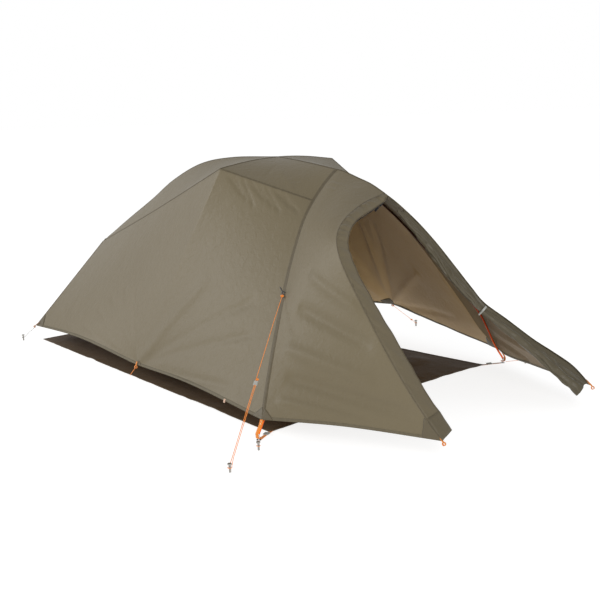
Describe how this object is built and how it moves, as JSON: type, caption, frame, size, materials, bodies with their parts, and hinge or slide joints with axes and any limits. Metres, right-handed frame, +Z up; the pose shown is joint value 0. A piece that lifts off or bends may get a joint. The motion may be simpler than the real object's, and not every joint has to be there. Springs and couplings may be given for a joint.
{
  "type": "backpacking tent",
  "caption": "Low backpacking tent pitched with its rain fly, hubbed poles and ground sheet, front vestibule door rolled open, guylines and stakes.",
  "frame": {"origin": "centre of the underside of the ground sheet, on the ground", "axes": "+Z up; the vestibule door end faces -Y and the foot end +Y; X across the tent"},
  "size_m": [2.1, 3.076, 1.0185],
  "materials": {
    "pole_tube": "anodised dark red tube, satin",
    "insert_metal": "bare drawn tube",
    "elastic": "braided elastic cord",
    "black_plastic": "moulded, fine texture",
    "tip_metal": "turned, satin",
    "fly_cloth": "coated ripstop cloth, soft sheen, olive khaki",
    "pale_plastic": "moulded, pale grey",
    "zip_coil": "woven-in plastic coil",
    "slider_metal": "black lacquer on cast metal",
    "pull_cord": "soft orange moulding",
    "ground_cloth": "coated ripstop cloth, dark brown",
    "orange_webbing": "woven tape, orange",
    "pale_webbing": "woven tape, pale orange",
    "grommet_metal": "pressed ring",
    "guy_cord": "braided sheath, orange",
    "pale_cord": "braided sheath, pale",
    "stake_metal": "three-bladed extrusion, dull grey"
  },
  "bodies": {
    "root": {"front_hub": "black_plastic", "leg_pole_near_upper": "pole_tube", "leg_pole_near_lower": "pole_tube", "leg_pole_far_upper": "pole_tube", "leg_pole_far_lower": "pole_tube", "ridge_pole_1": "pole_tube", "ridge_pole_2": "pole_tube", "ridge_pole_3": "pole_tube", "ridge_pole_4": "pole_tube", "ridge_pole_5": "pole_tube", "ridge_pole_6": "pole_tube", "ridge_pole_7": "pole_tube", "brow_pole": "pole_tube", "pole_inserts": "insert_metal", "shock_cord": "elastic", "swivel_clip": "black_plastic", "brow_pole_caps": "black_plastic", "pole_tips": "tip_metal", "fly_roof_near_1": "fly_cloth", "fly_roof_near_2": "fly_cloth", "fly_roof_near_3": "fly_cloth", "fly_roof_far_1": "fly_cloth", "fly_roof_far_2": "fly_cloth", "fly_roof_far_3": "fly_cloth", "fly_side_near_1": "fly_cloth", "fly_side_near_2": "fly_cloth", "fly_side_near_3": "fly_cloth", "fly_side_far_1": "fly_cloth", "fly_side_far_2": "fly_cloth", "fly_side_far_3": "fly_cloth", "fly_rear_wall": "fly_cloth", "vestibule_near": "fly_cloth", "vestibule_far": "fly_cloth", "storm_flap": "fly_cloth", "rolled_door": "fly_cloth", "door_tie": "pale_plastic", "tie_toggle": "pale_plastic", "zip_coil": "zip_coil", "ground_sheet": "ground_cloth", "fly_corner_straps": "orange_webbing", "sheet_corner_straps": "pale_webbing", "corner_grommets": "grommet_metal", "corner_hooks": "pale_plastic", "fly_guy_loops": "orange_webbing", "guy_leg_near": "guy_cord", "guy_side_far": "guy_cord", "stake_cord_near": "guy_cord", "stake_cord_far": "guy_cord", "rear_cord_near": "pale_cord", "rear_cord_far": "pale_cord", "side_cord_near": "guy_cord"},
    "zip_slider": {"zip_slider": "slider_metal"},
    "zip_pull": {"zip_pull": "pull_cord"},
    "line_lock": {"line_lock": "pale_plastic"},
    "stake_leg_guy": {"stake_leg_guy": "stake_metal"},
    "stake_front_near": {"stake_front_near": "stake_metal"},
    "stake_front_far": {"stake_front_far": "stake_metal"},
    "stake_side_far": {"stake_side_far": "stake_metal"},
    "stake_rear_near": {"stake_rear_near": "stake_metal"},
    "stake_rear_far": {"stake_rear_far": "stake_metal"}
  },
  "joints": [
    {"name": "zip_slide", "type": "slide", "parent": "root", "child": "zip_slider", "axis": [-0.9458, -0.2143, -0.2439], "range_m": [0, 0.1]},
    {"name": "zip_pull_swing", "type": "hinge", "parent": "zip_slider", "child": "zip_pull", "pos_m": [-0.05157, -1.11999, 0.83444], "axis": [-0.3246, 0.6309, 0.7047], "range_deg": [-70, 70]},
    {"name": "line_lock_slide", "type": "slide", "parent": "root", "child": "line_lock", "axis": [-0.6819, -0.423, -0.5968], "range_m": [0, 0.12]},
    {"name": "stake_leg_guy_pull", "type": "slide", "parent": "root", "child": "stake_leg_guy", "axis": [0, 0, 1], "range_m": [0, 0.16]},
    {"name": "stake_front_near_pull", "type": "slide", "parent": "root", "child": "stake_front_near", "axis": [0, 0, 1], "range_m": [0, 0.16]},
    {"name": "stake_front_far_pull", "type": "slide", "parent": "root", "child": "stake_front_far", "axis": [0, 0, 1], "range_m": [0, 0.16]},
    {"name": "stake_side_far_pull", "type": "slide", "parent": "root", "child": "stake_side_far", "axis": [0, 0, 1], "range_m": [0, 0.16]},
    {"name": "stake_rear_near_pull", "type": "slide", "parent": "root", "child": "stake_rear_near", "axis": [0, 0, 1], "range_m": [0, 0.16]},
    {"name": "stake_rear_far_pull", "type": "slide", "parent": "root", "child": "stake_rear_far", "axis": [0, 0, 1], "range_m": [0, 0.16]}
  ]
}
